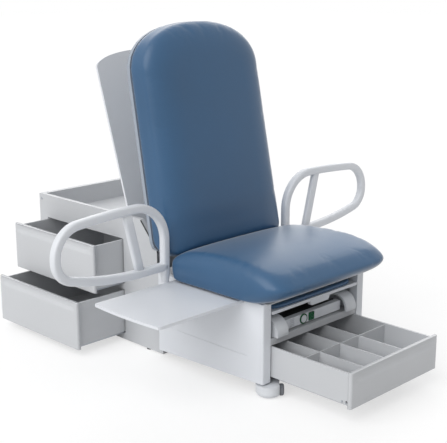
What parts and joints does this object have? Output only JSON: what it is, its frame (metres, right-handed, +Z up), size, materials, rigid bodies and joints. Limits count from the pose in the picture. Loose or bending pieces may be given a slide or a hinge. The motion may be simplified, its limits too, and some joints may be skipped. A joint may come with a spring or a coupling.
{
  "type": "phlebotomy chair",
  "caption": "Low treatment chair with a padded seat, an arched reclining back, swing-out loop arm rails, a slide-out board, footrest and stirrups, and a rear cabinet of pull-out drawers.",
  "frame": {"origin": "on the floor, in the middle of the part's length and width with the drawers, board and arm loops out as in the picture", "axes": "+Z up, -Y the way the sitter faces, +X the sitter's left"},
  "size_m": [1.8166, 1.8286, 1.3723],
  "materials": {
    "shell_white": "satin powder coat",
    "panel_grey": "satin powder coat",
    "steel": "brushed",
    "dark": "matte",
    "tread": "matte",
    "vinyl": "smooth satin vinyl",
    "green": "gloss"
  },
  "bodies": {
    "base": {"chassis_frame": "dark", "side_panel_right": "shell_white", "side_panel_left": "shell_white", "front_posts": "shell_white", "sill_rail": "panel_grey", "bay_shelf": "panel_grey", "rear_bulkhead": "panel_grey", "seat_deck": "panel_grey", "seat_cushion": "vinyl", "footrest_rails": "steel", "front_drawer_rails": "steel", "board_rails": "steel", "stirrup_guides": "steel", "service_bar": "shell_white", "power_box": "dark", "cabinet_wall_right": "panel_grey", "cabinet_wall_left": "panel_grey", "cabinet_wall_rear": "panel_grey", "cabinet_wall_front": "panel_grey", "cabinet_floor": "panel_grey", "cabinet_shelf": "panel_grey", "cabinet_tray": "panel_grey", "side_drawer_rails": "steel", "levelling_feet": "dark", "recline_brackets": "steel", "arm_sockets": "shell_white", "shroud_brackets": "steel", "pivot_pins": "steel", "button_ring": "green"},
    "backrest": {"backrest_cushion": "vinyl", "backrest_shell": "shell_white", "backrest_frame": "steel"},
    "shroud": {"rear_shroud": "panel_grey"},
    "actuator_tube": {"actuator_body": "dark"},
    "actuator_ram": {"actuator_rod": "steel"},
    "right_arm": {"arm_loop_right": "shell_white"},
    "left_arm": {"arm_loop_left": "shell_white"},
    "board": {"side_board": "shell_white"},
    "footrest": {"footrest_tray": "shell_white", "footrest_pad": "vinyl"},
    "right_stirrup": {"stirrup_bar_right": "steel", "stirrup_cup_right": "shell_white"},
    "left_stirrup": {"stirrup_bar_left": "steel", "stirrup_cup_left": "shell_white"},
    "front_drawer": {"front_drawer_box": "panel_grey", "front_drawer_front": "panel_grey", "front_drawer_dividers": "panel_grey", "front_drawer_slides": "steel"},
    "upper_drawer": {"upper_drawer_box": "panel_grey", "upper_drawer_front": "panel_grey", "upper_drawer_slides": "steel"},
    "lower_drawer": {"lower_drawer_box": "panel_grey", "lower_drawer_front": "panel_grey", "lower_drawer_slides": "steel"},
    "right_caster": {"caster_hood_right": "shell_white"},
    "right_wheel": {"caster_wheel_right": "tread"},
    "left_caster": {"caster_hood_left": "shell_white"},
    "left_wheel": {"caster_wheel_left": "tread"},
    "button": {"power_button": "shell_white"},
    "rocker": {"power_switch": "green"}
  },
  "joints": [
    {"name": "recline", "type": "hinge", "parent": "base", "child": "backrest", "pos_m": [0, 0.03625, 0.435], "axis": [-1, 0, 0], "range_deg": [0, 31]},
    {"name": "shroud_lean", "type": "hinge", "parent": "base", "child": "shroud", "pos_m": [0, 0.27825, 0.496], "axis": [-1, 0, 0], "range_deg": [0, 22]},
    {"name": "actuator_swing", "type": "hinge", "parent": "base", "child": "actuator_tube", "pos_m": [0, 0.16625, 0.12], "axis": [1, 0, 0], "range_deg": [0, 3]},
    {"name": "actuator_retract", "type": "slide", "parent": "actuator_tube", "child": "actuator_ram", "axis": [0, 0.1222, -0.9925], "range_m": [0, 0.047]},
    {"name": "right_arm_swing", "type": "hinge", "parent": "base", "child": "right_arm", "pos_m": [-0.36, -0.04475, 0.433], "axis": [0, 0, 1], "range_deg": [-30, 60]},
    {"name": "left_arm_swing", "type": "hinge", "parent": "base", "child": "left_arm", "pos_m": [0.36, -0.04475, 0.433], "axis": [0, 0, 1], "range_deg": [-60, 30]},
    {"name": "board_slide", "type": "slide", "parent": "base", "child": "board", "axis": [1, 0, 0], "range_m": [0, 0.42]},
    {"name": "footrest_slide", "type": "slide", "parent": "base", "child": "footrest", "axis": [0, -1, 0], "range_m": [0, 0.3]},
    {"name": "right_stirrup_slide", "type": "slide", "parent": "base", "child": "right_stirrup", "axis": [0, -1, 0], "range_m": [0, 0.2]},
    {"name": "left_stirrup_slide", "type": "slide", "parent": "base", "child": "left_stirrup", "axis": [0, -1, 0], "range_m": [0, 0.2]},
    {"name": "front_drawer_slide", "type": "slide", "parent": "base", "child": "front_drawer", "axis": [0, -1, 0], "range_m": [-0.37, 0.06]},
    {"name": "upper_drawer_slide", "type": "slide", "parent": "base", "child": "upper_drawer", "axis": [-1, 0, 0], "range_m": [-0.157, 0.2]},
    {"name": "lower_drawer_slide", "type": "slide", "parent": "base", "child": "lower_drawer", "axis": [-1, 0, 0], "range_m": [-0.251, 0.1]},
    {"name": "right_caster_swivel", "type": "hinge", "parent": "base", "child": "right_caster", "pos_m": [-0.277, -0.50175, 0.055], "axis": [0, 0, 1], "continuous": true},
    {"name": "right_wheel_spin", "type": "hinge", "parent": "right_caster", "child": "right_wheel", "pos_m": [-0.262, -0.51575, 0.023], "axis": [0.7071, -0.7071, 0], "continuous": true},
    {"name": "left_caster_swivel", "type": "hinge", "parent": "base", "child": "left_caster", "pos_m": [0.277, -0.50175, 0.055], "axis": [0, 0, 1], "continuous": true},
    {"name": "left_wheel_spin", "type": "hinge", "parent": "left_caster", "child": "left_wheel", "pos_m": [0.262, -0.51575, 0.023], "axis": [0.7071, 0.7071, 0], "continuous": true},
    {"name": "button_press", "type": "slide", "parent": "base", "child": "button", "axis": [0, 1, 0], "range_m": [0, 0.003], "stiffness_N_per_m": 600},
    {"name": "rocker_tilt", "type": "hinge", "parent": "base", "child": "rocker", "pos_m": [-0.01, -0.50375, 0.2535], "axis": [1, 0, 0], "range_deg": [0, 5]}
  ],
  "couplings": [
    {"joint": "shroud_lean", "follows": "recline", "ratio": 0.7},
    {"joint": "actuator_swing", "follows": "recline", "ratio": 0.0885},
    {"joint": "actuator_retract", "follows": "recline", "m_per_rad": 0.0854}
  ]
}
